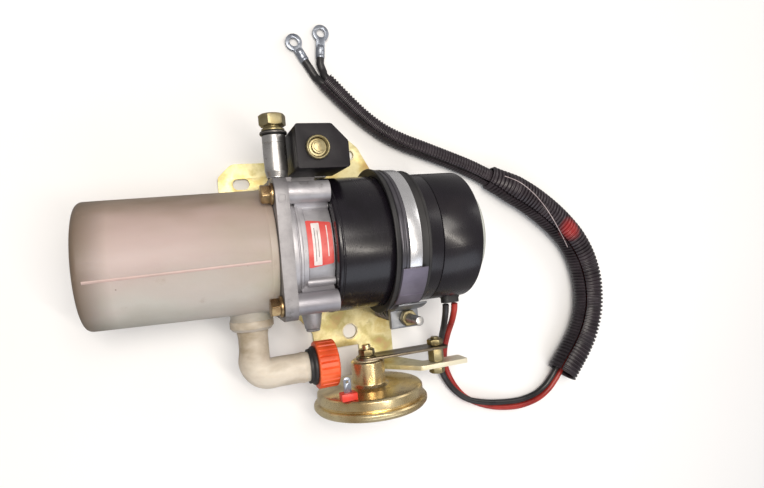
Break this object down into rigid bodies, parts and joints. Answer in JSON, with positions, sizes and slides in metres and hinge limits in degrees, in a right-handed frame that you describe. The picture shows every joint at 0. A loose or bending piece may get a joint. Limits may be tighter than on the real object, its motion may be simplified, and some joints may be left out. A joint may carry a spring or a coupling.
{
  "type": "hydraulic power unit",
  "caption": "Electro-hydraulic power unit: plastic oil tank, flanged gear pump with solenoid valve, strapped black motor, disc horn, plated bracket and loomed supply cables.",
  "frame": {"origin": "on the bracket's flat back face, straight below the joint between tank and pump flange", "axes": "+X along the shaft from the tank to the motor, +Y towards the solenoid valve, +Z away from the bracket's back face"},
  "size_m": [0.5157, 0.4161, 0.1268],
  "materials": {
    "tank_plastic": "milky translucent polyethylene, semi-matt",
    "yellow_zinc": "yellow zinc-plated steel sheet, iridescent",
    "cast_aluminium": "raw die-cast aluminium, fine grain",
    "steel": "machined steel",
    "black_paint": "black gloss paint on steel",
    "black_plastic": "black moulded plastic",
    "black_rubber": "black rubber, matt",
    "stainless_steel": "bright stainless steel",
    "orange_plastic": "orange-red moulded plastic",
    "red_plastic": "red plastic",
    "gold_zinc": "gold-coloured zinc plate on steel",
    "copper": "copper winding on laminated steel",
    "ferrite": "ceramic magnet",
    "carbon": "carbon",
    "label": "printed foil label, no lettering"
  },
  "bodies": {
    "unit": {"bracket": "yellow_zinc", "tank": "tank_plastic", "filler_elbow": "tank_plastic", "tank_flange": "cast_aluminium", "suction_tube": "black_plastic", "tank_bolt_1": "gold_zinc", "tank_bolt_2": "gold_zinc", "tank_bolt_3": "gold_zinc", "tank_bolt_4": "gold_zinc", "pump_body": "cast_aluminium", "label_plate": "label", "relief_spring": "steel", "relief_plug": "steel", "port_adapter": "steel", "port_seal": "black_rubber", "port_plug": "gold_zinc", "solenoid_coil": "black_plastic", "armature_tube": "gold_zinc", "coil_nut": "gold_zinc", "plunger_spring": "steel", "motor_casing": "black_paint", "motor_end_cap": "black_paint", "bearing_cover": "cast_aluminium", "magnet_ring": "ferrite", "front_bearing": "steel", "rear_bearing": "steel", "brush_plate": "steel", "brush_1": "carbon", "brush_2": "carbon", "cable_grommet": "black_rubber", "clamp_liner": "black_rubber", "clamp_band": "stainless_steel", "clamp_saddle": "steel", "clamp_bolt": "gold_zinc", "clamp_nut": "gold_zinc", "clamp_spring": "steel", "horn_body": "gold_zinc", "horn_insulator": "red_plastic", "horn_terminal": "stainless_steel", "horn_nut": "gold_zinc", "horn_strap": "yellow_zinc", "strap_bolt": "gold_zinc", "strap_nut_upper": "gold_zinc", "strap_nut_lower": "gold_zinc", "cable_black": "black_rubber", "cable_red": "red_plastic", "loom_wide": "black_plastic", "loom_thin": "black_plastic", "tail_black": "black_rubber", "tail_red": "black_rubber", "lug_black": "stainless_steel", "lug_red": "stainless_steel"},
    "rotor": {"rotor": "copper", "drive_gear": "steel"},
    "driven_gear": {"driven_gear": "steel"},
    "plunger": {"solenoid_plunger": "steel"},
    "relief_poppet": {"relief_poppet": "steel"},
    "cap_ring": {"cap_seal_ring": "black_rubber"},
    "cap": {"filler_cap": "orange_plastic"},
    "horn_disc": {"horn_tone_disc": "steel"}
  },
  "joints": [
    {"name": "rotor_spin", "type": "hinge", "parent": "unit", "child": "rotor", "pos_m": [0.09, 0, 0.065], "axis": [1, 0, 0], "continuous": true},
    {"name": "driven_gear_spin", "type": "hinge", "parent": "unit", "child": "driven_gear", "pos_m": [0.017, 0, 0.041], "axis": [1, 0, 0], "continuous": true},
    {"name": "plunger_slide", "type": "slide", "parent": "unit", "child": "plunger", "axis": [0, 0, 1], "range_m": [0, 0.0025], "stiffness_N_per_m": 400, "springref_m": -0.005, "deforming": ["plunger_spring"]},
    {"name": "relief_slide", "type": "slide", "parent": "unit", "child": "relief_poppet", "axis": [0, -1, 0], "range_m": [0, 0.002], "stiffness_N_per_m": 2000, "springref_m": -0.003, "deforming": ["relief_spring"]},
    {"name": "filler_cap_lift", "type": "slide", "parent": "unit", "child": "cap_ring", "axis": [1, 0, 0], "range_m": [0, 0.006]},
    {"name": "filler_cap_turn", "type": "hinge", "parent": "cap_ring", "child": "cap", "pos_m": [0.04, -0.1015, 0.06], "axis": [1, 0, 0], "range_deg": [0, 540]},
    {"name": "horn_disc_slide", "type": "slide", "parent": "unit", "child": "horn_disc", "axis": [0, -1, 0], "range_m": [-0.0003, 0.0003], "stiffness_N_per_m": 5000}
  ],
  "couplings": [
    {"joint": "driven_gear_spin", "follows": "rotor_spin", "ratio": -1},
    {"joint": "filler_cap_lift", "follows": "filler_cap_turn", "m_per_rad": 0.000636}
  ]
}
